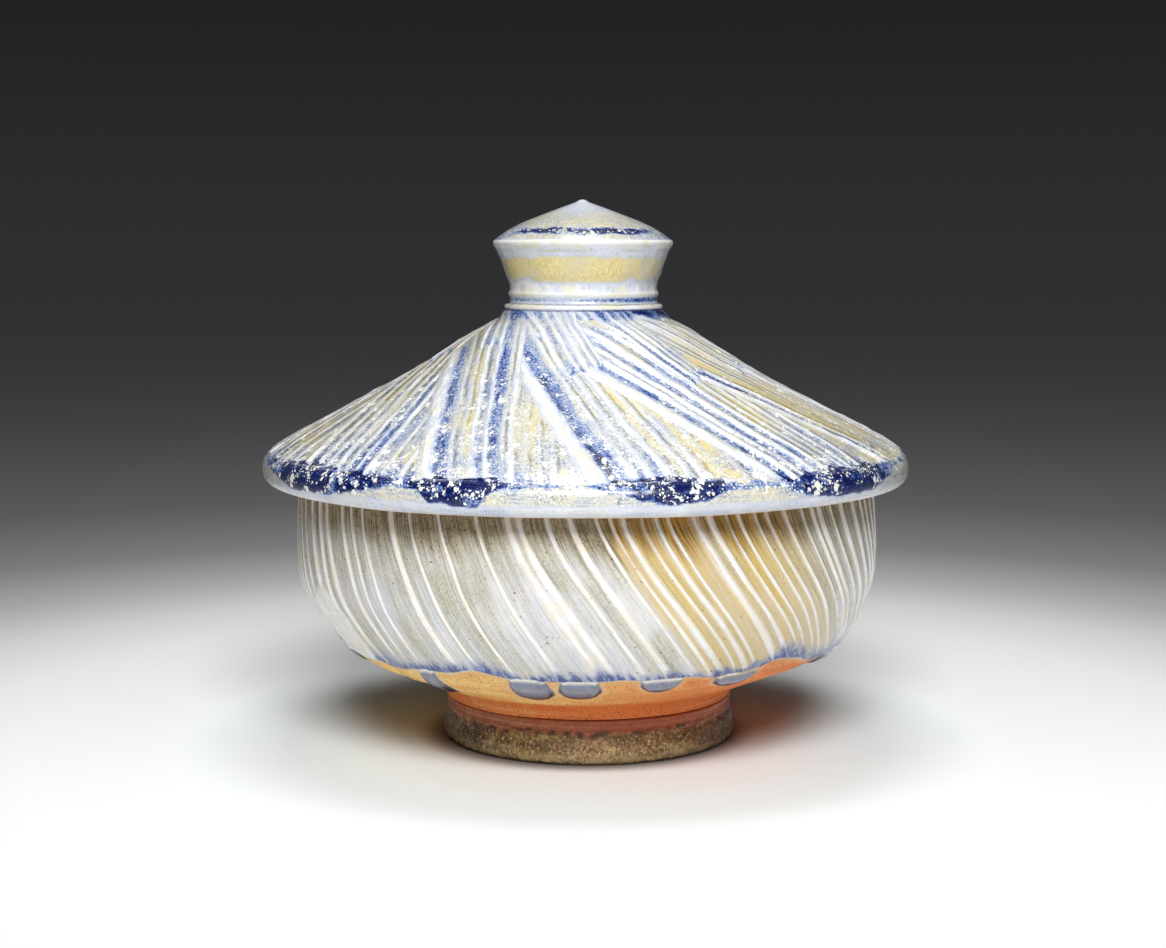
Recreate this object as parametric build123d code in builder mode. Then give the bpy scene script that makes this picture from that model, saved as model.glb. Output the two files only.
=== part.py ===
"""A thrown stoneware bowl with a foot ring and an overhanging, lift-off lid that carries a hollow knob.

Frame: +Z up, origin at the centre of the foot's resting face, every piece turned about Z. Millimetres.
An outline point is (radius, height).
"""

import os

from build123d import *

# Driving dimensions
LID_RADIUS = 100.0  # widest part of the lid's rolled rim
BOWL_RADIUS = 89.4  # widest part of the bowl's wall
SEAT_HEIGHT = 86.0  # the bowl's rim, which the lid rests on
FOOT_HEIGHT = 13.4  # from the table to the bowl's underside
FOOT_RADIUS = 46.0
CROWN_HEIGHT = 133.2  # top of the lid, under the knob's collar
TIP_HEIGHT = 167.2
KNOB_RADIUS = 27.9

# Bowl
WALL = 6.0
BELLY_HEIGHT = 60.0
RIM_RADIUS = BOWL_RADIUS - 1.7  # the wall leans in a little above the belly
RIM_ROUND = 1.4
TRIM_CORNER = (51.0, 19.3)  # the edge that trimming left above the foot
NECK_HOLLOW = (46.6, 17.0)
FLOOR_RADIUS = 34.0
FLOOR_THICKNESS = 7.0
FLOOR_HEIGHT = FOOT_HEIGHT + FLOOR_THICKNESS

# Foot ring
FOOT_TOP_RADIUS = 44.8
FOOT_WAIST = (44.6, 10.0)
FOOT_BELLY = (FOOT_RADIUS, 3.0)
FOOT_REST_RADIUS = FOOT_RADIUS - 0.9
FOOT_INNER_RADIUS = 38.0  # at the bowl's underside
FOOT_INNER_REST_RADIUS = 38.8  # at the table
FOOT_EDGE_ROUND = 1.2

# Lid
LID_SHOULDER = (95.6, 91.6)  # where the canopy turns into the rolled rim
LID_EDGE = (95.5, 80.8)  # underside of the rolled rim, a little below the seat
LID_EDGE_INNER = (93.9, 80.8)
SEAT_OUTER_RADIUS = 91.4
CROWN_RADIUS = 24.2
CROWN_BORE = 17.0  # opening from the lid's hollow into the knob's

# Locating flange under the lid
FLANGE_CLEARANCE = 1.4  # a thrown fit, loose enough for a fired rim that is a little out of round
FLANGE_THICKNESS = 5.6
FLANGE_DEPTH = 12.0
FLANGE_ROUND = 2.0
FLANGE_RADIUS = RIM_RADIUS - WALL - FLANGE_CLEARANCE
FLANGE_INNER_RADIUS = FLANGE_RADIUS - FLANGE_THICKNESS

# Collar and knob
COLLAR_RADIUS = 24.7
COLLAR_HEIGHT = 2.0
COLLAR_ROUND = COLLAR_HEIGHT / 2
KNOB_BASE_HEIGHT = CROWN_HEIGHT + COLLAR_HEIGHT
KNOB_BASE_RADIUS = 23.3
KNOB_WAIST = (22.8, 140.2)
KNOB_RIM_HEIGHT = 153.8
KNOB_BEVEL = (27.7, 154.5)
KNOB_HOLLOW_TOP = 156.5

with BuildPart() as bowl:
    with BuildSketch(Plane.XZ):
        with BuildLine():
            underbody = Spline(
                TRIM_CORNER,
                (66.6, 25.6),
                (79.6, 33.6),
                (86.9, 46.2),
                (BOWL_RADIUS, BELLY_HEIGHT),
                tangents=[(1, 0.42), (0, 1)],
            )
            shoulder = Spline(underbody @ 1, (RIM_RADIUS, SEAT_HEIGHT), tangents=[(0, 1), (-0.12, 1)])
            inner_wall = Spline(
                (RIM_RADIUS - WALL, SEAT_HEIGHT),
                (BOWL_RADIUS - WALL, BELLY_HEIGHT),
                (81.0, 48.4),
                (74.6, 38.2),
                (61.0, 29.2),
                (FLOOR_RADIUS, FLOOR_HEIGHT),
                tangents=[(0.04, -1), (-1, 0)],
            )
            neck = ThreePointArc(TRIM_CORNER, NECK_HOLLOW, (FOOT_TOP_RADIUS, FOOT_HEIGHT))
            Polyline(neck @ 1, (0, FOOT_HEIGHT), (0, FLOOR_HEIGHT), inner_wall @ 1)
            Line(shoulder @ 1, inner_wall @ 0)
        make_face()
    revolve(axis=Axis.Z)
    fillet(bowl.faces().sort_by(Axis.Z)[-1].edges(), RIM_ROUND)

with BuildPart() as foot_ring:
    with BuildSketch(Plane.XZ):
        with BuildLine():
            waist = Spline((FOOT_TOP_RADIUS, FOOT_HEIGHT), FOOT_WAIST, FOOT_BELLY, tangents=[(0, -1), (0, -1)])
            toe = Spline(waist @ 1, (FOOT_REST_RADIUS, 0), tangents=[(0, -1), (-0.6, -1)])
            inside = Line((FOOT_INNER_REST_RADIUS, 0), (FOOT_INNER_RADIUS, FOOT_HEIGHT))
            Line(toe @ 1, inside @ 0)
            Line(waist @ 0, inside @ 1)
        make_face()
    revolve(axis=Axis.Z)
    rest_face = foot_ring.faces().sort_by(Axis.Z)[0]
    fillet(rest_face.edges().sort_by(Edge.radius)[0], FOOT_EDGE_ROUND)

with BuildPart() as lid:
    with BuildSketch(Plane.XZ):
        with BuildLine():
            canopy = Spline(
                (CROWN_RADIUS, CROWN_HEIGHT),
                (31.0, 128.0),
                (44.0, 120.0),
                (65.4, 108.0),
                (86.2, 97.0),
                LID_SHOULDER,
                tangents=[(0.6, -1), (1, -0.72)],
            )
            upper_roll = Spline(LID_SHOULDER, (LID_RADIUS, SEAT_HEIGHT), tangents=[canopy % 1, (0, -1)])
            lower_roll = Spline(upper_roll @ 1, LID_EDGE, tangents=[(0, -1), (-1, 0)])
            Polyline(
                LID_EDGE,
                LID_EDGE_INNER,
                (SEAT_OUTER_RADIUS, SEAT_HEIGHT),
                (FLANGE_INNER_RADIUS, SEAT_HEIGHT),
            )
            hollow = Spline(
                (FLANGE_INNER_RADIUS, SEAT_HEIGHT),
                (70.0, 97.0),
                (43.0, 112.0),
                (26.0, 122.0),
                (CROWN_BORE, CROWN_HEIGHT),
                tangents=[(0, 1), (0, 1)],
            )
            Line(hollow @ 1, canopy @ 0)
        make_face()
    revolve(axis=Axis.Z)

with BuildPart() as locating_flange:
    with BuildSketch(Plane.XY.offset(SEAT_HEIGHT)):
        Circle(FLANGE_RADIUS)
        Circle(FLANGE_INNER_RADIUS, mode=Mode.SUBTRACT)
    extrude(amount=-FLANGE_DEPTH)
    fillet(locating_flange.faces().sort_by(Axis.Z)[0].edges(), FLANGE_ROUND)

with BuildPart() as knob_collar:
    with BuildSketch(Plane.XZ):
        with BuildLine():
            bead = ThreePointArc(
                (COLLAR_RADIUS - COLLAR_ROUND, CROWN_HEIGHT),
                (COLLAR_RADIUS, CROWN_HEIGHT + COLLAR_ROUND),
                (COLLAR_RADIUS - COLLAR_ROUND, KNOB_BASE_HEIGHT),
            )
            Polyline(bead @ 1, (CROWN_BORE, KNOB_BASE_HEIGHT), (CROWN_BORE, CROWN_HEIGHT), bead @ 0)
        make_face()
    revolve(axis=Axis.Z)

with BuildPart() as knob:
    with BuildSketch(Plane.XZ):
        with BuildLine():
            ridge = Spline(
                (KNOB_BASE_RADIUS, KNOB_BASE_HEIGHT),
                (22.8, 136.8),
                (23.3, 138.4),
                KNOB_WAIST,
                tangents=[(-0.6, 1), (0, 1)],
            )
            flare = Spline(
                KNOB_WAIST,
                (23.7, 143.4),
                (25.1, 147.2),
                (26.4, 150.8),
                (KNOB_RADIUS, KNOB_RIM_HEIGHT),
                tangents=[ridge % 1, (0.5, 1)],
            )
            Line(flare @ 1, KNOB_BEVEL)
            cap = Spline(KNOB_BEVEL, (22.4, 158.2), (14.8, 161.6), (7.4, 164.4), (2.4, 166.2))
            tip = Spline(cap @ 1, (0, TIP_HEIGHT), tangents=[cap % 1, (-1, 0)])
            cavity = Spline(
                (CROWN_BORE, KNOB_BASE_HEIGHT),
                (17.8, 143.0),
                (20.4, 151.0),
                (13.0, 155.4),
                (0, KNOB_HOLLOW_TOP),
                tangents=[(0, 1), (-1, 0)],
            )
            Line(tip @ 1, cavity @ 1)
            Line(cavity @ 0, ridge @ 0)
        make_face()
    revolve(axis=Axis.Z)

pieces = {
    "bowl": bowl,
    "foot_ring": foot_ring,
    "lid": lid,
    "locating_flange": locating_flange,
    "knob_collar": knob_collar,
    "knob": knob,
}
os.makedirs("parts", exist_ok=True)
for name, piece in pieces.items():
    piece.part.label = name
    export_step(piece.part, f"parts/{name}.step")
    print(name, round(piece.part.volume / 1000, 1), "cm3")
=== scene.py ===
"""Looks for the lidded stoneware bowl: each clay piece is a dense turned mesh with combed relief and glaze.

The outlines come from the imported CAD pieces. Lengths in the shape code are millimetres, and angles are
degrees. Azimuth 0 faces the camera (-Y) and grows towards +X. Meshes are written in metres.
"""

import math

import bmesh
import bpy
import numpy as np
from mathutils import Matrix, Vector


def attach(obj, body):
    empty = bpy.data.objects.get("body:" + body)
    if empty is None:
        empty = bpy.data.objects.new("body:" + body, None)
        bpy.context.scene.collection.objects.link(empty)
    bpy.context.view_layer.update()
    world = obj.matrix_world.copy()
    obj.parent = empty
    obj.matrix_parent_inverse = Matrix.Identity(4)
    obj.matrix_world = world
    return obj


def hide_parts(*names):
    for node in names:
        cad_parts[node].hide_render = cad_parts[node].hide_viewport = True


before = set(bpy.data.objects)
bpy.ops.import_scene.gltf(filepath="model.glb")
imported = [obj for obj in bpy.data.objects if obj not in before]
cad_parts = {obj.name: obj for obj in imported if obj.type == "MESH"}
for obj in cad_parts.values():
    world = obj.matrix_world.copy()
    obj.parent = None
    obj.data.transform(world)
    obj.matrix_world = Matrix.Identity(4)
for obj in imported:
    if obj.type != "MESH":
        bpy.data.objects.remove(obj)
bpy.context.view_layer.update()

MM = 0.001
LEAN = 0.012  # the thrown pot leans a little to the left, in mm per mm of height
LEAN_HEIGHT = 86.0  # height that the lean leaves in place
SHOULDER = 95.6, 91.6  # radius and height where the lid's canopy turns into its rolled rim
FINE, COARSE = 0.42, 1.8  # distance between the rows of a mesh, on decorated and on plain surfaces
COLUMNS = 1600  # points round the lid and the bowl
CORNER = 24  # turn of an outline that counts as a corner and isn't smoothed into a curve
BAND_TOP = 98.6  # reach on the lid below which its surface runs round the rim, not along the strokes
STROKES_FADE = 97.2, 99.6  # reach over which the lid's strokes end
LIP = 103.6, 105.6  # reach over which the rim's pale lower lip begins
STROKE_TOP, STROKE_FALL = 80, 42  # height where the bowl's strokes start, and how far they fall
BARE_RIM = 84.6  # height where the bowl's glaze gives way to its bare rim
BIG_RUN = -60, 46  # azimuth and height of the wide white run on the bowl


# ---------------------------------------------------------------- small maths


def step(low, high, x):
    """A smooth rise from 0 at low to 1 at high."""
    t = np.clip((x - low) / (high - low), 0, 1)
    return t * t * (3 - 2 * t)


def bump(centre, half_width, x):
    """1 at centre, falling smoothly to 0 at half_width to either side."""
    return 1 - step(0, 1, np.abs(x - centre) / half_width)


def wrap(angle):
    """An angle in degrees, brought to -180..180."""
    return (angle + 180) % 360 - 180


def smooth_min(a, b, radius):
    """The lower of a and b, with a blend of that radius where they meet."""
    t = np.clip(0.5 + 0.5 * (b - a) / radius, 0, 1)
    return b + (a - b) * t - radius * t * (1 - t)


RANDOM_VALUES = np.random.default_rng(7).random(4096)


def lattice(ix, iy, iz, seed):
    """A repeatable random number at each whole-number point."""
    key = (ix * 374761393 + iy * 668265263 + iz * 2147483647 + seed * 974711) & 0x7FFFFFFF
    key = ((key ^ (key >> 13)) * 1274126177) & 0x7FFFFFFF
    return RANDOM_VALUES[(key ^ (key >> 16)) & 4095]


def noise(x, y, z=0.0, seed=0, octaves=1):
    """Smooth noise from 0 to 1 about one unit across."""
    total, weight, share = 0.0, 0.0, 1.0
    for octave in range(octaves):
        px, py, pz = (np.asarray(v, float) * 2**octave + 31.7 * octave for v in (x, y, z))
        cx, cy, cz = (np.floor(v).astype(np.int64) for v in (px, py, pz))
        fx, fy, fz = (step(0, 1, v - c) for v, c in ((px, cx), (py, cy), (pz, cz)))
        value = 0.0
        for dx in (0, 1):
            for dy in (0, 1):
                for dz in (0, 1):
                    corner = lattice(cx + dx, cy + dy, cz + dz, seed + octave)
                    value = value + corner * abs(1 - dx - fx) * abs(1 - dy - fy) * abs(1 - dz - fz)
        total = total + share * value
        weight += share
        share *= 0.5
    return total / weight


# ---------------------------------------------------------------- outlines and turned meshes


def cad_outline(node):
    """A turned CAD node's outline, as ordered (radius, height) points, and whether it is a closed loop."""
    cut = bmesh.new()
    cut.from_mesh(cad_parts[node].data)
    bmesh.ops.remove_doubles(cut, verts=cut.verts, dist=1e-7)
    everything = cut.verts[:] + cut.edges[:] + cut.faces[:]
    found = bmesh.ops.bisect_plane(cut, geom=everything, dist=1e-7, plane_co=(0, 0, 0), plane_no=(0, 1, 0))
    links = {}
    for edge in found["geom_cut"]:
        if isinstance(edge, bmesh.types.BMEdge) and max(v.co.x for v in edge.verts) > 1e-7:
            for vertex in edge.verts:
                links.setdefault(vertex, []).append(edge.other_vert(vertex))
    ends = [v for v, near in links.items() if len(near) == 1]
    start = max(ends, key=lambda v: v.co.z) if ends else max(links, key=lambda v: (v.co.z, v.co.x))
    chain, previous, here = [start], None, start
    while True:
        onward = [v for v in links[here] if v is not previous]
        if not ends and previous is None:
            onward.sort(key=lambda v: -v.co.x)
        if not onward or onward[0] is start:
            break
        previous, here = here, onward[0]
        chain.append(here)
    points = np.array([(max(v.co.x, 0), v.co.z) for v in chain]) / MM
    cut.free()
    return points, not ends


def rounded(points, closed, pitch=0.1, softness=0.35):
    """The outline as a smooth, finely sampled curve, with its corners softened as fired clay's are."""
    if closed:
        points = np.vstack([points, points[:1]])
    along = np.r_[0, np.cumsum(np.hypot(*np.diff(points, axis=0).T))]
    slopes = np.diff(points, axis=0) / np.diff(along)[:, None]
    before = np.vstack([slopes[-1:] if closed else slopes[:1], slopes])
    after = np.vstack([slopes, slopes[:1] if closed else slopes[-1:]])
    corner = (before * after).sum(1) < math.cos(math.radians(CORNER))
    arrive = np.where(corner[:, None], before, (before + after) / 2)
    leave = np.where(corner[:, None], after, (before + after) / 2)
    fine = np.linspace(0, along[-1], int(along[-1] / pitch))
    piece = np.clip(np.searchsorted(along, fine, "right") - 1, 0, len(along) - 2)
    length = along[piece + 1] - along[piece]
    t = ((fine - along[piece]) / length)[:, None]
    length = length[:, None]
    curve = (
        points[piece] * (2 * t**3 - 3 * t**2 + 1)
        + leave[piece] * length * (t**3 - 2 * t**2 + t)
        + points[piece + 1] * (3 * t**2 - 2 * t**3)
        + arrive[piece + 1] * length * (t**3 - t**2)
    )
    reach = int(4 * softness / pitch)
    kernel = np.exp(-0.5 * (np.arange(-reach, reach + 1) * pitch / softness) ** 2)
    kernel /= kernel.sum()
    if closed:
        padded = np.vstack([curve[-reach - 1 : -1], curve, curve[1 : reach + 1]])
    else:
        mirror = np.array([-1, 1])
        padded = np.vstack([curve[reach:0:-1] * mirror, curve, curve[-2 : -reach - 2 : -1] * mirror])
    return np.column_stack([np.convolve(padded[:, i], kernel, "valid") for i in (0, 1)])


class Turned:
    """A grid of points on a turned surface: one row per point of the outline, one column per azimuth."""

    def __init__(self, node, columns, spacing, softness=0.35):
        """spacing(radius, height) is the wanted distance between rows at a point of the outline."""
        points, self.closed = cad_outline(node)
        curve = rounded(points, self.closed, softness=softness)
        along = np.r_[0, np.cumsum(np.hypot(*np.diff(curve, axis=0).T))]
        density = np.array([1 / spacing(r, z) for r, z in curve])
        count = np.r_[0, np.cumsum((density[1:] + density[:-1]) / 2 * np.diff(along))]
        rows = int(round(count[-1]))
        wanted = np.linspace(0, count[-1], rows + 1)[: None if not self.closed else -1]
        self.arc = np.interp(wanted, count, along)
        self.r, self.z = (np.interp(self.arc, along, curve[:, i]) for i in (0, 1))
        if self.closed:
            turn = np.roll(self.r, -1) - np.roll(self.r, 1), np.roll(self.z, -1) - np.roll(self.z, 1)
        else:
            turn = np.gradient(self.r), np.gradient(self.z)
            self.r[[0, -1]] = 0
        size = np.hypot(*turn) + 1e-12
        area = np.sum(self.r * np.roll(self.z, -1) - np.roll(self.r, -1) * self.z)
        self.sign = 1 if area > 0 else -1
        self.nr, self.nz = self.sign * turn[1] / size, -self.sign * turn[0] / size
        self.azimuth = np.linspace(-180, 180, columns, endpoint=False)[None, :]
        self.rows, self.columns = len(self.r), columns
        self.R, self.Z, self.S = self.r[:, None], self.z[:, None], self.arc[:, None]
        self.x = self.R * np.sin(np.radians(self.azimuth))
        self.y = -self.R * np.cos(np.radians(self.azimuth))
        self.lift = np.zeros((self.rows, columns))
        self.marks = {}
        self.flow = None

    def outer(self, inside):
        """Sets the outside: a column of 1 where inside(radius, height, upward part of the normal) holds."""
        self.outside = np.array([float(inside(*p)) for p in zip(self.r, self.z, self.nz)])[:, None]
        return self.outside

    def mark(self, key, amount, most=1):
        """Stores an amount from 0 to most for the material to read, on the outside only."""
        self.marks[key] = self.outside * np.clip(amount, 0, most)

    def solid_noise(self, size, seed, octaves=2):
        """Noise in space, so that it has no seam where the grid closes. size is in millimetres."""
        return noise(self.x / size, self.y / size, self.Z / size + 0 * self.x, seed, octaves)

    def wobble(self, size, seed, octaves=2):
        """The same noise, from -0.5 to 0.5."""
        return self.solid_noise(size, seed, octaves) - 0.5

    def patches(self, low, high, size, seed, octaves=2):
        """The same noise, as patches with soft edges: 0 where it is under low, 1 where it is over high."""
        return step(low, high, self.solid_noise(size, seed, octaves))

    def skin(self):
        """The lifted grid's points, faces, marks and flow. An open outline's ends become fans."""
        radius = self.R + self.nr[:, None] * self.lift
        height = self.Z + self.nz[:, None] * self.lift
        turn = np.radians(self.azimuth)
        x = radius * np.sin(turn) - LEAN * (height - LEAN_HEIGHT)
        grid = np.stack([x, -radius * np.cos(turn), height], -1)
        first, last = (0, self.rows) if self.closed else (1, self.rows - 1)
        ring = np.arange(self.columns)
        after = np.roll(ring, -1)
        rows = np.arange(self.rows if self.closed else self.rows - 3)[:, None]
        row = rows * self.columns
        next_row = (rows + 1) % (last - first) * self.columns
        quads = np.stack([row + ring, row + after, next_row + after, next_row + ring], -1).reshape(-1, 4)
        faces = [quads]
        points = grid[first:last].reshape(-1, 3)
        marks = {k: np.broadcast_to(v, self.lift.shape)[first:last].ravel() for k, v in self.marks.items()}
        flow = None if self.flow is None else self.flow[first:last].reshape(-1, 3)
        if not self.closed:
            poles = np.array([grid[0].mean(0), grid[-1].mean(0)])
            base = len(points)
            points = np.vstack([points, poles])
            edge = (last - first - 1) * self.columns
            faces.append(np.stack([np.full(self.columns, base), after, ring], -1))
            faces.append(np.stack([np.full(self.columns, base + 1), edge + ring, edge + after], -1))
            marks = {k: np.r_[v, self.mark_at(k, 0), self.mark_at(k, -1)] for k, v in marks.items()}
            flow = None if flow is None else np.vstack([flow, flow[:1], flow[-1:]])
        if self.sign > 0:
            faces = [f[:, ::-1] for f in faces]
        return points, faces, marks, flow

    def mesh(self, name, body, slot, material):
        """Writes the lifted grid as a mesh object that rides on a body."""
        points, faces, marks, flow = self.skin()
        corners = np.concatenate([f.ravel() for f in faces])
        sizes = np.concatenate([np.full(len(f), f.shape[1]) for f in faces])
        mesh = bpy.data.meshes.new(name)
        mesh.vertices.add(len(points))
        mesh.vertices.foreach_set("co", (points * MM).astype(np.float32).ravel())
        mesh.loops.add(len(corners))
        mesh.loops.foreach_set("vertex_index", corners.astype(np.int32))
        mesh.polygons.add(len(sizes))
        mesh.polygons.foreach_set("loop_start", np.r_[0, np.cumsum(sizes)[:-1]].astype(np.int32))
        mesh.polygons.foreach_set("loop_total", sizes.astype(np.int32))
        mesh.update(calc_edges=True)
        mesh.validate()
        mesh.shade_smooth()
        for key, values in marks.items():
            mesh.attributes.new(key, "FLOAT", "POINT").data.foreach_set("value", values.astype(np.float32))
        if flow is not None:
            vectors = mesh.attributes.new("flow", "FLOAT_VECTOR", "POINT")
            vectors.data.foreach_set("vector", flow.astype(np.float32).ravel())
        mesh.materials.append(material)
        piece = bpy.data.objects.new(name, mesh)
        bpy.context.scene.collection.objects.link(piece)
        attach(piece, body)
        return piece

    def mark_at(self, key, row):
        """The mean of a mark along one row."""
        return np.broadcast_to(self.marks[key], self.lift.shape)[row].mean()


# ---------------------------------------------------------------- combed strokes of the lid

# what a tooth leaves: white, blue, yellow or a light blue haze
W, B, Y, L = "slip", "cobalt", "ochre", "haze"
KINDS = (W, B, Y, L, "shade", "relief")

# The lid was combed in overlapping passes of a toothed tool. A pass has a heading, how far left of the axis
# its left edge runs, how strongly it hooks in at the neck, how much it fans out, where its first stroke
# starts, and its teeth from left to right: distance from the left edge, half width, what it leaves, strength.
PASSES = [
    (-52, 46, 6, 0.1, 20, [
        (1.6, 1.5, W, 0.9), (4.2, 0.9, B, 0.6), (7, 1.4, W, 0.8), (10, 1.6, Y, 0.7), (13, 1.1, W, 0.8),
        (15.4, 1, B, 0.6), (17.5, 0.9, W, 0.7), (20, 1.4, Y, 0.6), (23, 1.2, W, 0.8), (26, 1, L, 0.7),
        (29, 1.2, W, 0.7), (33, 1.5, Y, 0.5),
    ]),
    (-26, 49, 5, 0.12, 18, [
        (1.4, 1.5, W, 0.9), (4.4, 0.9, B, 0.9), (6.8, 1.2, W, 0.8), (9, 0.8, B, 0.4), (11, 0.9, W, 0.8),
        (13, 0.8, B, 0.7), (15, 1.3, W, 0.9), (17.4, 0.8, L, 0.5), (19, 0.9, W, 0.7), (21, 1, B, 0.7),
        (22.7, 0.8, W, 0.8), (24.4, 1.2, B, 0.9), (26.4, 1.1, W, 0.9), (29.5, 2, L, 0.8), (32, 0.8, W, 0.7),
        (35, 1.6, L, 0.8), (38, 1, W, 0.6), (41, 1.4, Y, 0.5),
    ]),
    (-1, 44, 3, 0.05, 24, [
        (2.2, 2.1, W, 1.1), (5.8, 1.9, B, 1.0), (8.8, 0.6, W, 0.6), (10.2, 0.6, L, 0.7),
        (11.6, 0.6, W, 0.5), (13, 1.1, Y, 0.6), (14.6, 0.8, W, 0.8), (16.4, 0.9, B, 0.5),
        (18.2, 0.8, W, 0.9), (20.3, 1.7, B, 1), (22.6, 0.7, W, 0.4), (24.8, 1.1, W, 0.9), (25.2, 1, Y, 0.6),
        (27.5, 0.5, L, 0.5), (29.2, 0.5, W, 0.35), (31, 0.6, Y, 0.5), (32.6, 0.5, W, 0.35),
        (34.4, 0.6, L, 0.5), (36.4, 0.6, W, 0.4), (38.6, 0.8, Y, 0.5), (41, 0.5, W, 0.35),
    ]),
    (24, 39.5, 8, 0.35, 38, [
        (2.7, 2.5, W, 1.25), (6.6, 2.1, B, 1.05), (9.6, 1, L, 0.8), (11.6, 0.8, W, 0.6),
        (13.4, 0.9, L, 0.5), (15.4, 1, W, 0.65), (17.6, 1, L, 0.6), (19.4, 1.1, W, 0.7),
        (21.8, 1.2, Y, 0.5), (23.8, 0.8, W, 0.5), (25.6, 0.8, L, 0.7), (27.4, 0.9, W, 0.55),
        (29.7, 1.3, Y, 0.6), (31.8, 0.7, W, 0.45), (34.2, 1.3, Y, 0.6), (36.7, 0.7, W, 0.45),
        (39, 1, L, 0.6),
    ]),
    (57, 44.5, 4, 0.1, 21, [
        (2.5, 2.3, W, 1.2), (6.2, 1.6, B, 0.9), (8.7, 1.4, W, 0.9), (10.4, 0.6, L, 0.9),
        (11.9, 1.1, W, 0.8), (14.2, 1.4, B, 0.75), (16.8, 1.5, W, 0.95), (18.4, 0.8, Y, 0.7),
        (19.9, 1.2, B, 0.6), (21.8, 1, W, 0.8), (23.6, 0.8, Y, 0.7), (25.2, 0.8, W, 0.6), (27, 0.9, Y, 0.7),
        (28.8, 0.8, W, 0.7), (30.4, 0.6, L, 0.7), (32, 1, W, 0.7), (35, 1.1, B, 0.5), (37, 1, W, 0.8),
    ]),
    (88, 42.5, 6, 0.08, 24, [
        (1.9, 1.7, W, 1), (4.7, 0.9, B, 1.15), (7, 1, W, 0.8), (10.5, 2.4, Y, 0.8), (12.4, 0.5, W, 0.5),
        (14.8, 0.7, W, 0.6), (17, 0.6, L, 0.8), (18.6, 0.7, W, 0.7), (20.4, 0.6, B, 0.6), (22, 0.8, W, 0.7),
        (24, 0.8, L, 0.7), (26, 0.9, W, 0.7), (28.5, 1, Y, 0.6), (31, 1.1, W, 0.7), (34, 0.8, B, 0.5),
        (36, 1, W, 0.7),
    ]),
]  # fmt: skip
BACK_PASSES = 7  # they share the rest of the turn


def random_teeth(random, bold):
    """Teeth of a pass on the lid's far side: a bold first stroke, blue beside it, then mixed ones."""
    blue = (bold + 1.2, random.uniform(0.8, 1.4), B, random.uniform(0.8, 1.1))
    teeth = [(bold * 0.5, bold * 0.5, W, 1.1), blue]
    at = bold + 3.2
    while at < 70:
        half = random.uniform(0.5, 1.3)
        teeth.append((at, half, W, random.uniform(0.6, 0.95)))
        gap = random.uniform(0.9, 2.0)
        kind = random.choice([B, L, L, Y, Y, None])
        if kind:
            teeth.append((at + half + gap * 0.55, gap * 0.55, kind, random.uniform(0.4, 0.95)))
        at += half + gap + 0.6
    return teeth


def all_passes():
    """The passes that face the camera, and random ones round the back."""
    random = np.random.default_rng(11)
    passes = list(PASSES)
    first, last = PASSES[-1][0], PASSES[0][0] + 360
    for i in range(BACK_PASSES):
        heading = first + (last - first) * (i + 1 + random.uniform(-0.15, 0.15)) / (BACK_PASSES + 1)
        left, hook, spread = random.uniform(37, 45), random.uniform(4, 16), random.uniform(0.05, 0.3)
        start = random.uniform(18, 26)
        teeth = random_teeth(random, random.uniform(2.8, 4.8))
        passes.append((heading, left, hook, spread, start, teeth))
    return passes


def across(x, y, heading, left, hook, spread):
    """Distances along a pass, and across it from its left edge, of points in plan."""
    turn = math.radians(heading)
    along = x * math.sin(turn) - y * math.cos(turn)
    aside = -x * math.cos(turn) - y * math.sin(turn)
    wander = 1.4 * (noise(along / 24, heading, seed=3) - 0.5)
    wander = wander + 0.35 * (noise(along / 5, heading, seed=4) - 0.5)
    w = left - aside - hook * np.exp(-((along / 32) ** 2)) + wander
    return along, w / (1 + spread * (along - 60) / 60)


def lay_teeth(teeth, along, w, seed):
    """What the teeth of one pass leave at points that lie along and across it."""
    laid = {key: np.zeros(w.shape) for key in KINDS}
    rough = w + 0.7 * (noise(along / 1.3, w / 1.1, seed=seed, octaves=2) - 0.5)
    grain = 0.55 + 0.75 * noise(along / 3.5, w / 0.8, seed=seed + 2)
    for index, (at, half, kind, strength) in enumerate(teeth):
        streak = noise(along / 15, index * 3.7, seed=seed + 1, octaves=3)
        lasting = strength * (0.35 + 1.1 * streak) * grain
        mark = bump(at, half * (1.9 if kind == B else 1.5), rough)
        laid[kind] = laid[kind] + lasting * mark * (0.8 if kind == B else 1)
        if kind == W:
            laid["relief"] = laid["relief"] + 0.30 * min(half, 1.8) * lasting * bump(at, half * 1.3, w)
            beside = bump(at + half * 1.25 + 0.4, 0.75, rough) * step(0.35, 0.55, streak)
            laid["shade"] = laid["shade"] + 1.3 * grain * beside
        elif kind in (B, L):
            laid["relief"] = laid["relief"] - 0.16 * mark
    return laid


def comb_lid(x, y, azimuth):
    """What the long strokes leave, by kind, and their flow, at each point of the lid's canopy."""
    top = {key: np.zeros(x.shape) for key in KINDS}
    flow = np.zeros((*x.shape, 3))
    best = np.full(x.shape, -1e9)
    passes = all_passes()
    placed = []
    for *course, start, _ in passes:
        along, w = across(x, y, *course)
        order = wrap(course[0] - azimuth)
        over = (w > -0.3) & (along > np.maximum(2, start - 2.2 * w)) & (np.abs(order) < 90) & (order > best)
        best = np.where(over, order, best)
        placed.append((along, w, over))
    owner = np.full(x.shape, -1)
    for index, (_, _, over) in enumerate(placed):
        owner[over] = index
    for index, (along, w, _) in enumerate(placed):
        mine = owner == index
        laid = lay_teeth(passes[index][5], along[mine], w[mine], 500 + 9 * index)
        for key in top:
            top[key][mine] = laid[key]
        flow[mine] = np.stack([w[mine], along[mine] * 0.07, np.full(mine.sum(), 9.0 * index)], -1)
    return top, flow


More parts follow.
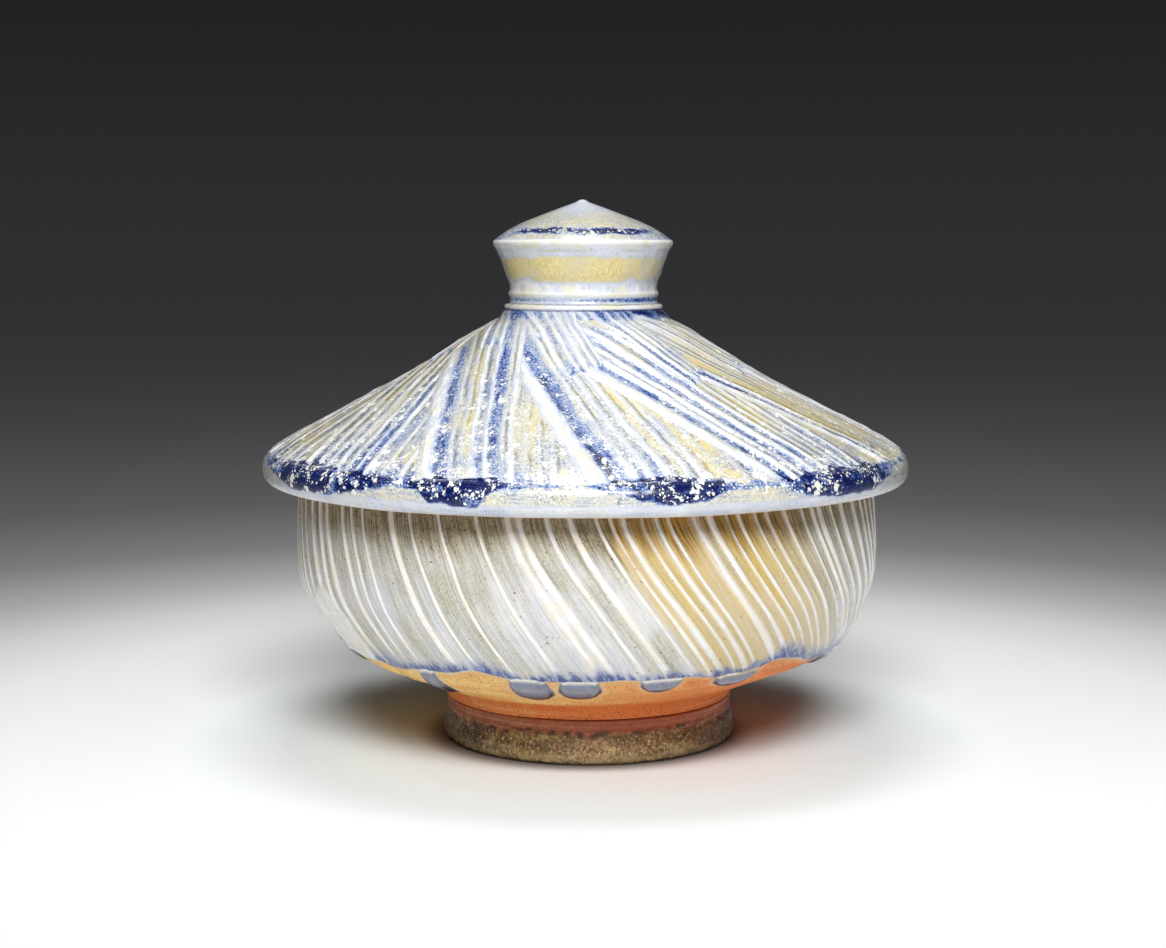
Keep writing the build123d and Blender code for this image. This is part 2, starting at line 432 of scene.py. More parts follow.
# short swipes at the neck, over the long strokes: heading, left edge, hook, width, where they end
SWIPES = [
    (-70, 36, 4, 14, 40), (-40, 33, 4, 13, 37), (-6, 30, 2, 9, 30), (26, 30, 7, 15, 45),
    (68, 33, 12, 14, 47), (96, 31, 10, 15, 46),
]  # fmt: skip
BACK_SWIPES = 6


def swipe_neck(x, y, top, flow):
    """Short curved swipes from the neck, with round ends, over the long strokes."""
    random = np.random.default_rng(23)
    first, last = SWIPES[-1][0], SWIPES[0][0] + 360
    swipes = list(SWIPES)
    for i in range(BACK_SWIPES):
        heading = first + (last - first) * (i + 1 + random.uniform(-0.2, 0.2)) / (BACK_SWIPES + 1)
        swipes.append((heading, random.uniform(30, 36), 8, random.uniform(12, 16), random.uniform(34, 48)))
    for index, (heading, left, hook, width, end) in enumerate(swipes):
        along, w = across(x, y, heading, left, hook, 0.3)
        near = (along > 0) & (along < end + 4) & (w > -2) & (w < width + 2)
        along, w = along[near], w[near]
        lobes = end - 3.0 + 2.4 * np.abs(np.sin(w * math.pi / (width / 3)))
        sides = step(-0.5, 0.5, w) * step(-0.5, 0.5, width - w)
        inside = sides * step(-1.0, 0.6, lobes - along)
        teeth = random_teeth(random, random.uniform(1.6, 2.6))
        laid = lay_teeth(teeth, along, w, 700 + 9 * index)
        laid[B] = 0.5 * laid[B]
        laid[L] = laid[L] + 0.3
        edge = bump(0, 2.2, lobes - along) * sides
        for key in top:
            top[key][near] = top[key][near] * (1 - inside) + laid[key] * inside
        top[B][near] += 0.7 * edge * noise(along / 5, w / 5, seed=index)
        top["relief"][near] += 0.2 * inside
        here = np.stack([w, along * 0.07, np.full(w.shape, 300.0 + 9 * index)], -1)
        flow[near] = np.where(inside[:, None] > 0.5, here, flow[near])


# the cobalt that pooled round the rim: azimuth, reach of its upper edge, reach of its lower edge, strength
RIM_BAND = [
    (-88, 98.4, 100.2, 0.35), (-76, 98.2, 100.2, 0.45), (-65, 97.6, 102.6, 0.8), (-58, 96.4, 105.2, 1.2),
    (-49, 96.8, 105.2, 1.15), (-45, 97.6, 104.8, 1.0), (-37, 98.0, 102.6, 0.9), (-32, 98.4, 100.8, 0.8),
    (-27, 98.0, 101.4, 1.0), (-25, 97.2, 104.4, 1.2), (-17, 97.4, 105.6, 1.25), (-14.5, 98.0, 101.0, 0.9),
    (-8, 98.6, 99.4, 0.5), (0, 98.8, 99.5, 0.45), (4, 98.0, 101.2, 0.8), (9, 96.6, 103.0, 1.1),
    (13, 95.6, 105.2, 1.2), (19, 96.6, 103.8, 1.15), (23, 98.4, 101.4, 0.9), (31, 99.2, 100.6, 0.7),
    (36, 98.4, 103.2, 0.75), (42, 96.6, 105.2, 1.2), (55, 96.2, 105.6, 1.25), (60, 97.6, 102.8, 0.75),
    (68, 98.6, 100.0, 0.4), (80, 98.4, 100.4, 0.4),
]  # fmt: skip
# stains in plan: x, y, size, strength
WARM_STAINS = [
    (-72, -25, 13, 0.7), (-50, -76, 6, 0.9), (-48, -22, 8, 0.6), (-33, -62, 7, 0.4), (-16, -72, 8, 0.45),
    (15, -36, 5, 0.9), (32, -24, 6, 0.9), (62, -31, 12, 0.8), (45, -54, 9, 0.5), (36, -82, 9, 0.6),
    (-8, -43, 4, 0.8), (-27, -40, 5, 0.4), (12, -60, 8, 0.35), (84, -34, 8, 0.5),
]  # fmt: skip
BLUE_STAINS = [
    (-47, -58, 8, 0.55), (-31, -84, 9, 0.45), (6, -32, 11, 0.6), (-14, -33, 7, 0.35), (22, -43, 9, 0.5),
    (60, -62, 11, 0.8), (-13, -52, 4, 0.7), (31, -63, 9, 0.35), (-26, -50, 7, 0.5), (73, -49, 9, 0.5),
    (-74, -33, 5, 0.9), (27, -31, 7, 0.5), (-3, -90, 9, 0.5), (20, -88, 9, 0.5), (-58, -66, 8, 0.5),
    (-33, -26, 7, 0.2), (45, -70, 8, 0.4), (-80, -52, 7, 0.5),
]  # fmt: skip


def stains(x, y, places):
    """Soft round stains, summed."""
    return sum(s * np.exp(-((x - px) ** 2 + (y - py) ** 2) / size**2) for px, py, size, s in places)


def pooled_band(lid, azimuth, reach, cobalt):
    """Where and how deep cobalt pooled round the rim, and reach with the noise of the band's upper edge."""
    random = np.random.default_rng(5)
    spans = (96.2, 98.8), (99.6, 105.4), (0.6, 1.2)
    places = RIM_BAND + [(a, *(random.uniform(*span) for span in spans)) for a in np.arange(91, 268, 9)]
    stops, *columns = zip(*places)
    upper, lower, pooled = (np.interp(azimuth, stops, column, period=360) for column in columns)
    ragged = reach + 3.6 * lid.wobble(2.4, 41, 3) + 3.0 * lid.wobble(8, 45)
    straight = reach + 1.6 * lid.wobble(3, 44)
    band = step(-0.5, 0.6, ragged + 1.6 * np.clip(cobalt, 0, 1) - upper) * step(-0.5, 0.5, lower - straight)
    return band, pooled * (0.7 + 0.6 * lid.patches(0.25, 0.6, 5, 40)), ragged


def colour_lid(lid, place, top, rim, fade):
    """The lid's marks. fade is 1 where the strokes in top show, and falls to 0 at the rim."""
    x, y, azimuth, reach = place
    band, pooled, lip, ridge = rim
    back = step(0, 25, y)
    warm = stains(x, y, WARM_STAINS) + back * lid.patches(0.5, 0.75, 14, 51)
    blue = stains(x, y, BLUE_STAINS) + back * 0.6 * lid.patches(0.5, 0.72, 13, 55)
    worn = 1 - 0.85 * bump(-16, 38, azimuth)
    # side is painted shade: the lid's flanks to the left and right of the view are made less white, yellower
    # and darker, as light falls off there
    side = step(35, 75, np.abs(azimuth))
    top[B] = top[B] * (0.4 + 0.6 * step(26, 54, reach))
    neck = 0.2 + 0.7 * lid.patches(0.3, 0.65, 9, 52) + 0.6 * bump(50, 60, azimuth)
    neck = bump(24.6, 2.8, reach) * worn * np.clip(neck, 0, 0.8)
    haze = np.clip(top[L] + 0.9 * blue + 0.22 * bump(30, 16, reach), 0, 1.2)

    slip = np.clip(top[W] * fade * (1 - 0.25 * blue), 0, 1)
    white = slip * (1 - 0.75 * neck) * (1 - band) + lip * (0.3 + 0.44 * lid.solid_noise(8, 50))
    lid.mark("slip", white + 1.2 * ridge, 0.74 - 0.22 * side)
    creep = 0.5 * step(84, 98, reach + 10 * lid.wobble(6, 46))
    creep = creep * (1 - slip) * lid.patches(0.35, 0.65, 9, 47)
    stained_lip = 0.3 * step(0.7, 1.1, pooled) * lip * lid.patches(0.35, 0.6, 14, 57)
    cobalt = top[B] * fade + 0.34 * haze * (1 - slip) * (1 - lip) + pooled * band
    lid.mark("cobalt", cobalt + creep * fade + stained_lip + neck, 1.25)
    ochre = (1.15 + 0.4 * side) * top[Y] * fade + warm + 0.8 * side * fade + 0.35 * lip
    lid.mark("ochre", ochre * (1 - np.clip(pooled * band, 0, 1)))
    # dark lines beside the white strokes, and painted shade over the lid's flanks
    dark = top["shade"] * fade * step(28, 44, reach) * (0.6 + 0.7 * side) + 0.34 * side * (1 - slip)
    lid.mark("shade", dark)
    fleck = 0.06 + 0.16 * step(50, 85, reach) + 0.30 * bump(97, 9, reach)
    fleck = fleck + 0.32 * np.clip(top[B], 0, 1) * step(40, 60, reach)
    fleck = fleck - 0.22 * step(98, 102, reach) * (1 - band) - 0.12 * band - 0.4 * lip
    crowd = 0.1 + 2.2 * lid.patches(0.35, 0.75, 3.2, 58)
    lid.mark("fleck", np.clip(fleck, 0, 0.6) * step(34, 54, reach) * crowd, 2)
    lid.marks["bare"] = (1 - lid.outside) + 0.55 * lid.outside * step(108.4, 109.4, reach)


def make_lid():
    """The canopy, its rolled rim and its hollow underside."""

    def spacing(r, z):
        return FINE if z > 79 and (r > 90 or z > hollow_height(r)) else COARSE

    lid = Turned("lid", COLUMNS, spacing, 0.9)
    outside = lid.outer(lambda r, z, nz: z > 80.4 and (r > 94.6 or (nz > 0.2 and z > hollow_height(r))))
    shoulder = np.argmin(np.hypot(lid.r - SHOULDER[0], lid.z - SHOULDER[1]))
    direction = 1 if lid.arc[np.argmax(lid.r)] > lid.arc[shoulder] else -1
    past = (lid.arc - lid.arc[shoulder]) * direction
    # reach is the plan radius on the canopy, and goes on growing down the rolled rim
    reach = np.where(past > 0, SHOULDER[0] + past, lid.r)[:, None] + 0 * lid.azimuth
    turn = np.radians(lid.azimuth)
    x, y = reach * np.sin(turn), -reach * np.cos(turn)
    azimuth = lid.azimuth + 0 * lid.R
    top, flow = comb_lid(x, y, azimuth)
    swipe_neck(x, y, top, flow)
    band, pooled, ragged = pooled_band(lid, azimuth, reach, top[B])
    lip = step(*LIP, reach) * (1 - band)
    fade = 1 - step(*STROKES_FADE, ragged)
    ridge = 0.26 * bump(98.4, 0.8, reach + 0.6 * lid.solid_noise(20, 53))
    ridge = ridge * lid.patches(0.35, 0.6, 9, 56)
    colour_lid(lid, (x, y, azimuth, reach), top, (band, pooled, lip, ridge), fade)
    round_rim = np.stack([reach + 900, 0.06 * x, 0.06 * y], -1)
    lid.flow = np.where((reach > BAND_TOP)[..., None], round_rim, flow)

    grow = step(24.8, 29, reach)
    joined = 0.5 * bump(24.2, 2.4, reach)
    hand = 0.5 * lid.wobble(28, 54)
    thick = 0.12 * pooled * band + 0.15 * lip
    rings = 0.12 * np.sin(lid.S * 1.9) * (1 - outside) * (lid.Z > 88)
    lid.lift = outside * ((top["relief"] * fade + hand) * grow + ridge + joined + thick) + rings
    piece = lid.mesh("lid_surface", "lid", "lid_glaze", glaze_material("lid_glaze"))
    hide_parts("lid")


def hollow_height(r):
    """Height of a line midway through the lid's wall, which parts its outside from its hollow."""
    return np.interp(r, [15, 24, 40, 65, 90, 101], [131.5, 128.5, 118.0, 104.0, 91.0, 84.0])


# ---------------------------------------------------------------- bowl

# how far the bowl's strokes turn over their fall, by the azimuth where they start
STROKE_TURN = [
    (-180, 18), (-90, 8), (-50, 9), (-20, 12.5), (-10, 16),
    (5, 19), (25, 20.5), (45, 18.5), (70, 16), (180, 18),
]  # fmt: skip
# bold strokes on the side towards the camera: azimuth at the top, half width, strength
BOLD_STROKES = [
    (-58, 0.6, 0.9), (-52, 0.5, 0.8), (-49, 0.35, 0.7), (-45.5, 0.3, 0.7), (-38, 0.6, 0.9),
    (-33.5, 0.3, 0.6), (-27.5, 0.35, 0.7), (-20, 0.3, 0.7), (-14, 0.65, 1.0), (-12, 0.5, 1.0),
    (-7, 0.4, 0.7), (-3, 0.5, 0.8), (1.5, 0.3, 0.8), (4, 0.35, 0.8), (6.2, 0.5, 0.9), (9.5, 0.3, 0.7),
    (12, 0.45, 0.85), (14.3, 0.3, 0.7), (19, 0.8, 0.7), (22.2, 0.45, 0.9), (25.5, 0.3, 0.8), (28, 0.4, 0.8),
    (31.5, 0.3, 0.7), (34.2, 0.4, 0.8), (38.3, 0.5, 0.8), (42.5, 0.3, 0.7), (45.5, 0.5, 0.8),
    (47.8, 0.7, 0.9), (51.5, 0.4, 0.7), (55.5, 0.9, 0.9), (60.5, 0.8, 0.9), (64.5, 0.6, 0.8),
]  # fmt: skip
# runs of glaze below the line: azimuth, half width, length, end from pointed (2) to round (4), sideways drift
RUNS = [
    (-12.6, 6.2, 18, 3, 0.0), (-1.8, 6.2, 15.5, 3, 0.0), (15.4, 6.2, 8.6, 2, 0.0), (33, 7.2, 8.4, 2, 0.05),
    (-36, 3.6, 27, 3, 0.32), (68, 5, 9, 2, 0.1), (84, 5.5, 17, 4, 0), (99, 5, 8, 2, 0),
    (126, 5.6, 20, 4, 0), (150, 5, 9, 2, 0), (171, 5.8, 15, 4, 0), (-160, 5, 11, 2, 0),
    (-141, 5.6, 23, 4, 0), (-118, 5, 8, 2, 0), (-96, 5.4, 13, 4, 0), (-70, 5, 12, 2, 0.1),
]  # fmt: skip
GLAZE_LINE = 32.6  # height where the glaze stops
# how far up from the line the cobalt reaches, by azimuth
BLUE_WIDTH = [
    (-180, 7), (-75, 9), (-52, 13), (-40, 6), (-28, 10), (-12, 6), (0, 11), (8, 6), (16, 9), (26, 9),
    (34, 6), (46, 11), (70, 9), (180, 7),
]  # fmt: skip
# golden streaks: azimuth, half width, strength
GOLD = [
    (4, 3, 0.8), (9, 6, 1.1), (17, 6, 1.1), (24, 5, 0.7),
    (29, 7, 1.1), (37, 6, 0.7), (140, 14, 0.8), (-130, 12, 0.6),
]  # fmt: skip


def comb_turn(seed):
    """Strokes left by the comb round the bowl, by azimuth at the top: slip, fine slip, relief and shade."""
    random = np.random.default_rng(seed)
    turn = np.arange(-180, 180, 0.02)
    slip, fine, relief, shade = (np.zeros_like(turn) for _ in range(4))
    strokes = list(BOLD_STROKES)
    at = 68.0
    while at < 299:
        strokes.append((wrap(at), random.uniform(0.3, 0.9), random.uniform(0.6, 1)))
        at += random.uniform(2.0, 5.0)
    for where, half, strength in strokes:
        aside = wrap(turn - where)
        slip += strength * (0.85 * bump(0, half * 1.5, aside) + 0.4 * bump(0, half * 3.4, aside))
        relief += 0.5 * strength * bump(0, half * 1.7, aside)
        shade += 1.1 * strength * bump(half * 1.4 + 0.5, 0.65, aside)
    at = -180.0
    while at < 179:
        half = random.uniform(0.10, 0.26)
        strength = random.uniform(0.25, 0.8)
        fine += strength * bump(0, half * 1.6, wrap(turn - at))
        relief += 0.22 * strength * bump(0, half * 2, wrap(turn - at))
        shade += random.uniform(0, 0.8) * bump(half + 0.3, 0.4, wrap(turn - at))
        at += random.uniform(0.6, 1.5)
    return turn, {"slip": slip, "fine": fine, "relief": relief, "shade": shade}


def stroke_start(azimuth, height):
    """The azimuth at the rim from which the stroke through each point of the bowl falls."""
    stops, turns = zip(*STROKE_TURN)
    fall = np.clip((STROKE_TOP - height) / STROKE_FALL, -0.15, 1.25)
    bent = np.sign(fall) * np.abs(fall) ** 1.3
    start = azimuth
    for _ in range(6):
        start = azimuth - np.interp(wrap(start), stops, turns) * bent
    return start + 0.7 * (noise(start / 9, height / 14, seed=61) - 0.5)


def glaze_edge(bowl, azimuth):
    """How far each point lies past the glaze line and past its runs, and where the glaze pools and rolls."""
    line_at = np.argmin(np.abs(bowl.z - GLAZE_LINE) + 100 * (1 - bowl.outside[:, 0]))
    direction = 1 if bowl.z[min(line_at + 3, bowl.rows - 1)] < bowl.z[line_at] else -1
    # below is the distance down the surface from the glaze line
    below = (bowl.S - bowl.arc[line_at]) * direction + 0 * azimuth
    edge_x, edge_y = np.cos(np.radians(azimuth)), np.sin(np.radians(azimuth))
    waver = 2.6 * (noise(edge_x * 9, edge_y * 9, seed=65, octaves=2) - 0.5)
    lifted = -2.4 * bump(-23, 8, azimuth) - 3.4 * bump(43, 12, azimuth) + 1.6 * bump(-45, 8, azimuth)
    shore = below - waver - lifted
    edge, pool = shore.copy(), 0.0
    for where, half_width, length, power, drift in RUNS:
        aside = np.radians(wrap(azimuth - where)) * bowl.R + drift * below
        down = np.clip(below, 0, None) / length
        swell = 0.86 + 0.22 * np.sin(np.clip(down, 0, 1) * math.pi * 0.75) if power > 2 else 1.0
        run = (np.sqrt((aside / (half_width * swell)) ** 2 + down**power) - 1) * half_width
        edge = smooth_min(edge, run, 1.3)
        inside = step(0.3, -1.5, run)
        pool = np.maximum(pool, inside * step(0.35, 1.0, down + 0.35 * bump(-0.6, 1.6, run)))
    roll = bump(-0.5, 0.9, shore) * (1 - 0.5 * pool)
    roll = roll * step(0.3, 0.5, noise(edge_x * 14, edge_y * 14, seed=70))
    return shore, edge, pool, roll


def colour_bowl(bowl, azimuth, height, start, read, shores, glazed, big_run):
    """The bowl's marks, and the flow that its streaks follow. Returns where the comb's strokes show."""
    shore, edge, pool, roll = shores
    around = np.radians(start)
    sx, sy = 90 * np.sin(around), 90 * np.cos(around)
    streak = noise(sx / 1.2, sy / 1.2, height / 17, seed=63, octaves=2)
    patch = noise(sx / 8, sy / 8, height / 14, seed=64, octaves=2)
    broad = noise(sx / 3.0, sy / 3.0, height / 26, seed=69, octaves=2)
    bowl.flow = np.stack([sx, sy, height * 0.05], -1)

    # upper is painted shade: the bowl's top, under the lid's overhang, is made darker olive-brown
    upper = step(65, 77, height + 9 * (streak - 0.5) + 15 * (patch - 0.5))
    gold = sum(s * bump(0, w * 1.2, wrap(start - a)) for a, w, s in GOLD)
    gold = gold * (0.35 + patch) * (0.6 + 0.8 * broad) * (1 + 0.3 * step(75, 55, height))
    gold = np.clip(gold, 0, 1)
    milky = step(0.42, 0.7, 0.5 * patch + 0.5 * broad + 0.12 * step(66, 50, height)) * (1 - upper)
    stops, widths = zip(*BLUE_WIDTH)
    width = np.interp(azimuth, stops, widths) * (0.6 + 0.8 * noise(sx / 9, sy / 9, seed=67))
    band = step(1.1, -0.1, (-shore + 4.0 * (streak - 0.5) + 8.0 * (broad - 0.5)) / width)
    band = band * step(-0.2, -1.2, shore) * (0.75 + 0.5 * broad)

    widen = 1 + 0.5 * step(75, 55, height)
    slip = np.clip(widen * read["slip"] * (0.3 + 1.15 * streak), 0, 1)
    slip = slip + 0.6 * read["fine"] * (0.1 + 1.2 * streak)
    comb_area = bowl.outside * step(1.0, -1.5, shore + 0.6) * (1 - big_run)
    combed = comb_area * slip * (1 - 0.65 * band) * (1 - 0.2 * gold)
    bowl.mark("slip", glazed * np.clip(combed + 0.95 * roll + 0.9 * big_run, 0, 1))
    bowl.mark("shade", np.clip(read["shade"] * (0.4 + 0.9 * streak), 0, 1) * (1 - big_run))
    bowl.mark("iron", upper)
    bowl.mark("ochre", gold * (1 - big_run))
    bowl.mark("milky", milky * (1 - 0.7 * gold) + big_run)
    bowl.mark("cobalt", glazed * np.clip(0.95 * band * (1 - big_run) * (1 - roll), 0, 1))
    bowl.mark("bare", 1 - glazed)
    run_area = glazed * step(0.0, 1.0, shore)
    bowl.mark("drip", run_area)
    bowl.mark("pool", run_area * np.clip(pool, 0, 1))
    bowl.mark("halo", (1 - glazed) * bump(0.3, 2.2, edge))
    bowl.marks["rim"] = (bowl.Z > BARE_RIM) * 1.0
    # tone: a deeper orange over the right-hand half, and below the trim corner at the neck, where it is
    # painted shade under the bowl
    tone = 0.9 * step(-35, 45, azimuth) * step(175, 120, azimuth) + 0.85 * step(20.6, 18.6, height)
    bowl.marks["tone"] = np.clip(tone + 0.3 * (patch - 0.5), 0, 1)
    return comb_area


def make_bowl():
    """The bowl's combed and glazed wall, its bare underside with runs of glaze, and its plain inside."""
    bowl = Turned("bowl", COLUMNS, lambda r, z: FINE if is_bowl_outside(r, z) else COARSE)
    outside = bowl.outer(lambda r, z, nz: is_bowl_outside(r, z))
    azimuth = bowl.azimuth + 0 * bowl.R
    height = bowl.Z + 0 * bowl.azimuth

    start = stroke_start(azimuth, height)
    turn, tables = comb_turn(62)
    read = {key: np.interp(wrap(start), turn, table, period=360) for key, table in tables.items()}
    shores = glaze_edge(bowl, azimuth)
    shore, edge = shores[:2]
    glazed = step(0.2, -0.2, edge)
    above = height - BIG_RUN[1]
    big_run = np.hypot(wrap(azimuth - BIG_RUN[0] + 0.18 * above) * 1.25, (above + 3) * 0.62)
    big_run = step(9.5, 7.0, big_run + 2.2 * bowl.wobble(5, 66) + 0.16 * above)
    comb_area = colour_bowl(bowl, azimuth, height, start, read, shores, glazed, big_run)
    rings = noise(bowl.S / 1.1, azimuth / 120, seed=71, octaves=3)
    bowl.marks["turning"] = rings

    thick = 0.40 * step(0, -1.1, edge) + 0.28 * bump(-1.3, 1.4, edge)
    dome = 0.85 * step(0, -3.6, edge) * step(0.0, 2.5, shore)
    hand = 0.5 * bowl.wobble(30, 68)
    lathe = 0.35 * (rings - 0.5) * (1 - glazed)
    relief = comb_area * read["relief"] * step(8, 0, np.abs(height - 60) - 18)
    relief = relief + glazed * (thick + dome) + 0.55 * big_run + lathe + hand
    inside_rings = 0.16 * np.sin(bowl.S * 1.15) * (1 - outside) * (bowl.Z < 82) * (bowl.Z > 22)
    slack = 1.6 * bump(-82, 55, azimuth) * bump(36, 15, height)
    slack = slack - 1.2 * bump(95, 60, azimuth) * bump(34, 13, height)
    bowl.lift = outside * (step(85.6, 83.0, bowl.Z) * relief - 0.1 - slack) + inside_rings
    piece = bowl.mesh("bowl_surface", "bowl", "bowl_glaze", bowl_material())
    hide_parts("bowl")


def is_bowl_outside(r, z):
    """Whether a point of the bowl's outline lies on its outer wall or underbody."""
    wall = np.interp(z, [13, 17, 20, 27, 33, 46, 60, 90], [41, 43, 49, 62, 73.4, 83.4, 86.3, 84.8])
    return r > wall and z < 85.8 and z > 13.6


# ---------------------------------------------------------------- foot, flange, collar and knob


def make_foot():
    """The bare foot ring: a pinkish band over a lumpy ash skin."""
    foot = Turned("foot_ring", 900, lambda r, z: 0.35 if r > 42 else 0.9)
    outside = foot.outer(lambda r, z, nz: r > 41.5)
    uneven = foot.Z + 2.4 * foot.wobble(4, 80, 3) + 1.2 * foot.wobble(14, 84)
    ash = step(10.2, 8.0, uneven)
    foot.mark("ash", ash)
    foot.mark("line", bump(9.4, 1.3, uneven) * foot.patches(0.42, 0.58, 2.2, 81))
    foot.mark("lower", bump(2.0, 1.6, uneven))
    # painted contact shadow: the foot is darkened below 1.3 mm of height, where it meets the floor
    foot.marks["toe"] = step(1.3, 0.5, foot.Z)
    # painted shade: the foot's ash skin is darkened on its flanks, away from the front, where less light
    # falls
    foot.marks["sides"] = step(15, 70, np.abs(foot.azimuth + 12 * foot.wobble(20, 88)))
    stretched = noise(foot.azimuth / 13, foot.S / 1.7, seed=86, octaves=3)
    foot.marks["smear"] = 0.55 * stretched + 0.45 * foot.solid_noise(5, 87, 3)
    foot.marks["tone"] = step(-50, 60, foot.azimuth)
    turned = noise(foot.S / 0.9, foot.azimuth / 60, seed=85, octaves=3)
    foot.marks["turning"] = turned
    away = step(0.3, 1.2, foot.Z) * step(13.2, 12.4, foot.Z)
    lumps = 0.6 * (foot.solid_noise(2.4, 82, 3) - 0.45) + 0.35 * foot.wobble(1.1, 89)
    foot.lift = outside * away * (lumps * ash + 0.5 * (turned - 0.5) + 0.4 * foot.wobble(18, 83) - 0.1)
    piece = foot.mesh("foot_surface", "bowl", "bare_foot", foot_material())
    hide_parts("foot_ring")


def make_flange():
    """The bare locating flange under the lid."""
    flange = Turned("locating_flange", 480, lambda r, z: 0.8)
    lower = step(85.5, 84.0, flange.Z)
    lines = noise(flange.S / 1.2, flange.azimuth / 90, seed=91, octaves=3)
    flange.marks["turning"] = lines
    flange.lift = lower * (0.3 * (lines - 0.5) + 0.25 * flange.wobble(20, 90) - 0.1)
    piece = flange.mesh("flange_surface", "lid", "bare_flange", clay_material("bare_flange"))
    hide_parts("locating_flange")


def make_collar():
    """The white bead between lid and knob."""
    collar = Turned("knob_collar", 480, lambda r, z: 0.3 if r > 21 else 1.2)
    outside = collar.outer(lambda r, z, nz: r > 22)
    azimuth = collar.azimuth + 0 * collar.R
    under = step(134.2, 133.5, collar.Z)
    collar.mark("slip", 0.7 + 0.4 * collar.solid_noise(7, 100) - 0.9 * under)
    stained = 0.3 + 0.7 * step(0, 30, azimuth) + 0.5 * step(-45, -70, azimuth)
    tinge = 0.2 * collar.patches(0.5, 0.8, 6, 101)
    collar.mark("cobalt", 0.7 * under * stained + tinge)
    for key in ("ochre", "fleck", "bare", "shade"):
        collar.marks[key] = 0.0
    collar.flow = np.stack([collar.x, collar.y, collar.Z + 0 * azimuth], -1)
    collar.lift = outside * 0.3 * (collar.solid_noise(9, 102) - 0.6)
    piece = collar.mesh("collar_surface", "lid", "knob_glaze", glaze_material("knob_collar_glaze"))
    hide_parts("knob_collar")


def make_knob():
    """The hollow knob: a flared grip with a golden band under a low pointed cap."""
    knob = Turned("knob", 720, lambda r, z: 0.3 if is_knob_outside(r, z) else 1.0)
    outside = knob.outer(lambda r, z, nz: is_knob_outside(r, z))
    azimuth = knob.azimuth + 0 * knob.R
    height = knob.Z + 0 * knob.azimuth
    cap = step(154.2, 155.0, height)
    rim = bump(153.6, 1.7, height)
    blobs = knob.solid_noise(3.4, 110)
    soft = knob.solid_noise(8, 111)
    drips = noise(azimuth / 7.0, height / 22, seed=115, octaves=2)
    scalloped = height + 5.5 * (blobs - 0.5) - 1.5 * bump(-60, 40, azimuth)
    golden = step(150.4, 148.6, height + 1.6 * (drips - 0.5)) * step(140.4, 142.8, scalloped)
    golden = golden * (0.45 + 0.55 * bump(-8, 95, azimuth)) * (0.6 + 0.6 * drips)
    golden = golden + 0.55 * bump(151.4, 0.6, height) * step(0.45, 0.6, soft)
    stained = 0.3 + 0.7 * step(-10, 60, azimuth) + 0.35 * bump(-50, 30, azimuth)
    groove = bump(136.6, 1.3, height) * stained * (0.5 + 0.7 * soft)
    thin = 0.5 * bump(139.3, 0.5, height) * step(0.5, 0.62, soft)
    near_line = bump(157.4, 1.25, height + 1.2 * knob.wobble(4, 117)) * cap
    line = near_line * knob.patches(0.34, 0.44, 1.8, 112, 3)
    line = line * (1.0 + 0.5 * step(0.3, 0.55, soft)) * step(66, 42, np.abs(azimuth))
    milk = bump(141.2, 2.8, height + 3.0 * (blobs - 0.5)) * step(0.4, 0.62, blobs)
    white_ridge = bump(138.3, 0.9, height)
    tip = step(161, 165.5, height + 3 * (soft - 0.5))
    slip = 0.6 * (1 - cap) + 0.45 * tip + 1.3 * rim + 0.6 * milk + 0.7 * white_ridge
    knob.mark("slip", slip - 0.8 * golden - 0.9 * line - 1.1 * groove)
    edge_tint = step(40, 75, np.abs(azimuth)) * bump(155, 6, height)
    cobalt = groove + thin + 1.3 * line + 0.3 * edge_tint + 0.14 * cap * step(0.45, 0.6, blobs)
    knob.mark("cobalt", cobalt, 1.25)
    plain_cap = cap * (1 - rim) * (1 - tip)
    knob.mark("ochre", 1.4 * golden + 0.3 * plain_cap * step(0.4, 0.65, soft))
    peppered = 0.34 * knob.patches(0.45, 0.6, 0.9, 116) * bump(157.5, 5, height)
    knob.mark("shade", plain_cap * (0.12 + peppered))
    knob.mark("fleck", 0.2 * near_line)
    knob.marks["bare"] = 0.0
    knob.flow = np.stack([knob.x, knob.y, height * 0.3], -1)
    hand = 0.35 * knob.wobble(14, 113) * step(0.5, 3.0, knob.R)
    relief = 0.15 * bump(138.4, 0.9, height) + hand + 0.22 * (blobs - 0.5) * (1 - cap) + 0.2 * rim
    knob.lift = outside * step(135.3, 136.0, height) * relief
    piece = knob.mesh("knob_surface", "lid", "knob_glaze", glaze_material("knob_glaze"))
    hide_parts("knob")


def is_knob_outside(r, z):
    """Whether a point of the knob's outline lies on its grip or cap."""
    wall = np.interp(z, [135, 143, 151, 155, 157.5, 162], [20, 20.6, 23.4, 21.0, 8.0, 0.0])
    return z > 162 or (r > wall and z > 135.4)


# ---------------------------------------------------------------- materials


def linear(level):
    """A linear value from a 0-255 display value."""
    return ((level / 255 + 0.055) / 1.055) ** 2.4 if level > 10 else level / 255 / 12.92


def colour(red, green, blue):
    """A linear colour with alpha from 0-255 display values."""
    return linear(red), linear(green), linear(blue), 1


